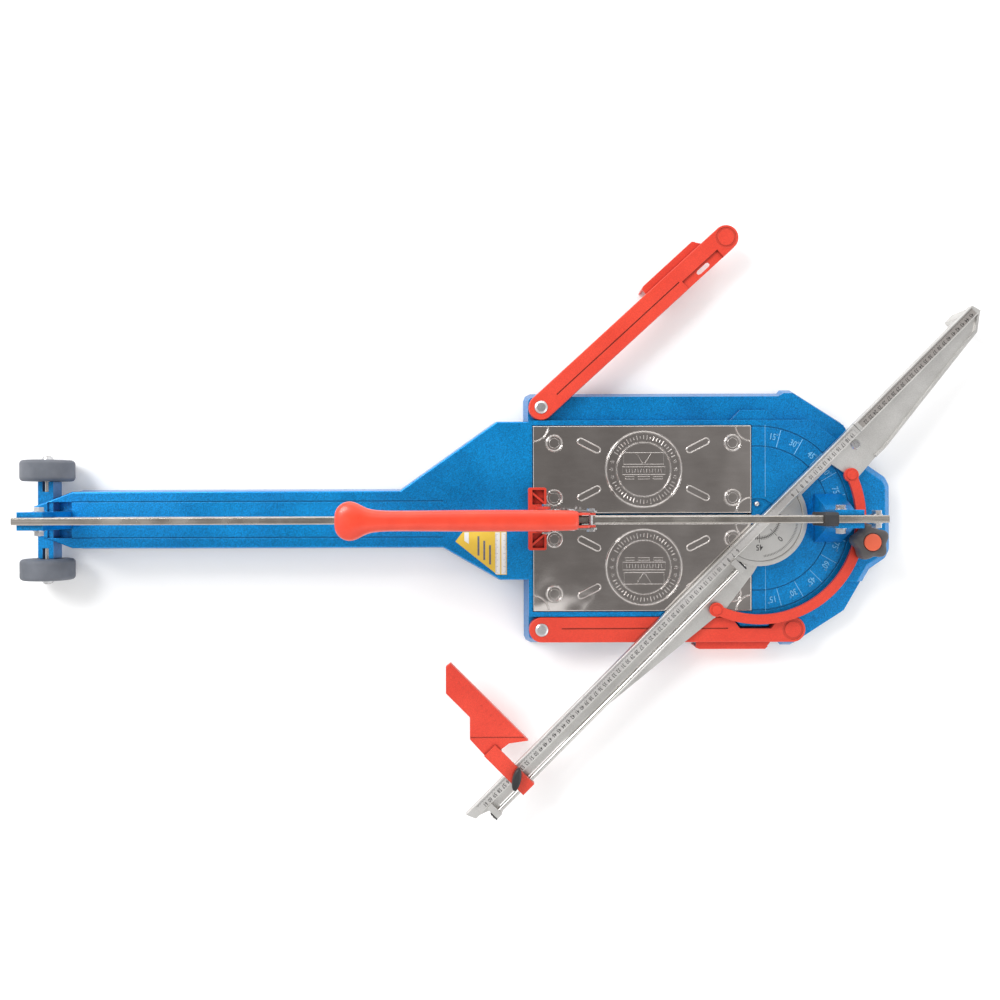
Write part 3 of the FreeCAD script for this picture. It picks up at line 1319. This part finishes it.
def handle():
    """Lever lofted through rounded sections, with a fork that reaches the pivot pin."""
    pivot_x = -number("handle_pivot_x")
    pivot_z = number("handle_pivot_z")
    tip = -number("handle_tip")
    top = number("carriage_top") + 1
    outer = number("prong_outer")
    stations = (
        (pivot_x - 14, top + 7, outer, 7, 3),
        (pivot_x - 45, top + 10, outer + 2.5, 9.5, 5),
        (pivot_x - 110, top + 13, outer + 4.5, 11.5, 6),
        (pivot_x - 200, top + 14, outer + 4.5, 12.5, 7),
        (pivot_x - 285, top + 13, outer + 3, 12.5, 8),
        (tip + 50, top + 13, outer + 4, 12.5, 8),
        (tip + 34, top + 13, outer + 12, 12.5, 9),
        (tip + 18, top + 13, outer + 17.5, 12.5, 10),
        (tip + 6, top + 13, outer + 16, 11.5, 9),
        (tip, top + 13, outer + 11, 8.5, 7),
    )
    wires = [section_wire(*station) for station in stations]
    grip = Part.makeLoft(wires, True, True)
    inner = number("prong_inner")
    bridge = Part.makeBox(24, 2 * outer, 14, Vector(pivot_x - 38, -outer, top + 0.5))
    shape = grip.fuse(bridge)
    for side in (1, -1):
        low = inner if side > 0 else -outer
        prong = Part.makeCylinder(7, outer - inner, Vector(pivot_x, low, pivot_z), Vector(0, 1, 0))
        arm = Part.makePolygon(
            [
                Vector(pivot_x + 7, low, pivot_z),
                Vector(pivot_x + 5, low, pivot_z + 8),
                Vector(pivot_x - 4, low, top + 13),
                Vector(pivot_x - 20, low, top + 14),
                Vector(pivot_x - 20, low, top + 0.5),
                Vector(pivot_x - 7, low, pivot_z),
                Vector(pivot_x + 7, low, pivot_z),
            ]
        )
        web = Part.Face(arm).extrude(Vector(0, outer - inner, 0))
        shape = shape.fuse(prong).fuse(web)
    hole = Part.makeCylinder(
        number("handle_pin + running"), 4 * outer, Vector(pivot_x, -2 * outer, pivot_z), Vector(0, 1, 0)
    )
    lever = doc.addObject("Part::Feature", "lever")
    lever.Shape = shape.cut(hole).removeSplitter()
    keep("handle", lever)


def breaker_foot():
    """Yoke behind the carriage with two hollow pads that press on the tile."""
    part = body("presser")
    cheek = "carriage_inner + carriage_skin + side_gap"
    back = rectangle("-pad_rear - 3", "-pad_rear + 4", "-pad_outer", "pad_outer")
    pad(part, "XY_Plane", "pad_bottom", [back], "pad_top - pad_bottom")
    for side in (1, -1):
        block = sided(rectangle("-pad_rear", "-pad_front", cheek, "pad_outer"), side)
        pad(part, "XY_Plane", "pad_bottom", [block], "pad_top - pad_bottom")
    rounds = number("pad_outer")
    dress(part, "Fillet", "3", lambda edge: upright(edge) and abs(abs(edge.CenterOfMass.y) - rounds) < 0.1)
    for side in (1, -1):
        well = rectangle("-pad_rear + 3.5", "-pad_front - 3.5", cheek + " + 8", "pad_outer - 3.5")
        pocket(part, "XY_Plane", "pad_bottom + 4", [sided(well, side)], "pad_top - pad_bottom")
        rib = sided(
            [
                ("-pad_rear + 3", "pad_outer - 6"),
                ("-pad_rear + 3", "pad_outer - 10"),
                ("-pad_front - 3", cheek + " + 8"),
                ("-pad_front - 3", cheek + " + 12"),
            ],
            side,
        )
        pad(part, "XY_Plane", "pad_bottom + 3", [rib], "pad_top - pad_bottom - 4")
        strut = [
            ("-pad_rear + 4", "pad_bottom + 4"),
            ("-pad_front", "pad_bottom + 4"),
            ("-foot_hinge_x + 7", "foot_hinge_z"),
            ("-foot_hinge_x + 3", "foot_hinge_z + 7"),
            ("-foot_hinge_x - 5", "foot_hinge_z + 6"),
            ("-foot_hinge_x - 8", "foot_hinge_z"),
        ]
        start = "-(%s + 5)" % cheek if side > 0 else cheek
        pad(part, "XZ_Plane", start, [strut], "5")
    hole = ("-foot_hinge_x", "foot_hinge_z", "handle_pin + running")
    pocket(part, "XZ_Plane", 0, [hole], "4 * pad_outer", middle=True)
    keep("breaker_foot", part)


def neck_label():
    """Printed label on the waist, next to the rail."""
    part = body("label")
    outline = [
        ("-waist_right_front + 10", "-waist_right_half + 8"),
        ("-waist_right_front + 10", "-20"),
        ("-waist_right_rear + 31", "-20"),
        ("-waist_right_rear + 19", "-35"),
        ("-waist_right_front - 5", "-waist_right_half + 8"),
    ]
    pad(part, "XY_Plane", "deck_top", [outline], "0.3")
    keep("neck_label", part)



# ---------------------------------------------------------------- assembly


def build():
    base_casting()
    rubber_feet()
    breaker_bar()
    rail()
    rail_bumper()
    rail_bolts()
    for name, side in SIDES:
        sprung_plate(name, side)
        plate_springs(name, side)
        side_arm(name, side)
    arm_rivets()
    transport_wheels()
    fence()
    fence_pivot_screw()
    fence_extension()
    guide_rod()
    goniometer_arc()
    clamp()
    sliding_stop()
    carriage()
    handle()
    breaker_foot()
    neck_label()
    doc.recompute()


def check():
    """Stop on any failed object, and on any sub-part without a valid shape."""
    for item in doc.Objects:
        if "Invalid" in item.State or "Error" in item.State:
            raise ValueError("%s failed" % item.Label)
    for label, item in subparts.items():
        if item.Shape.isNull() or not item.Shape.isValid() or not item.Shape.Solids:
            raise ValueError("%s has no valid shape" % label)


def centre_footprint():
    """Move every sub-part so that the origin is under the middle of the whole machine."""
    whole = FreeCAD.BoundBox()
    for item in subparts.values():
        whole.add(item.Shape.optimalBoundingBox(False))
    shift = Vector(-whole.Center.x, -whole.Center.y, -whole.ZMin)
    for item in subparts.values():
        placed = item.Placement
        placed.Base = placed.Base + shift
        item.Placement = placed
    doc.recompute()
    print("fence pivot at", shift)
    print("size", whole.XLength, whole.YLength, whole.ZLength)


build()
check()
centre_footprint()
check()
os.makedirs("parts", exist_ok=True)
for label, item in subparts.items():
    item.Shape.exportStep("parts/%s.step" % label)
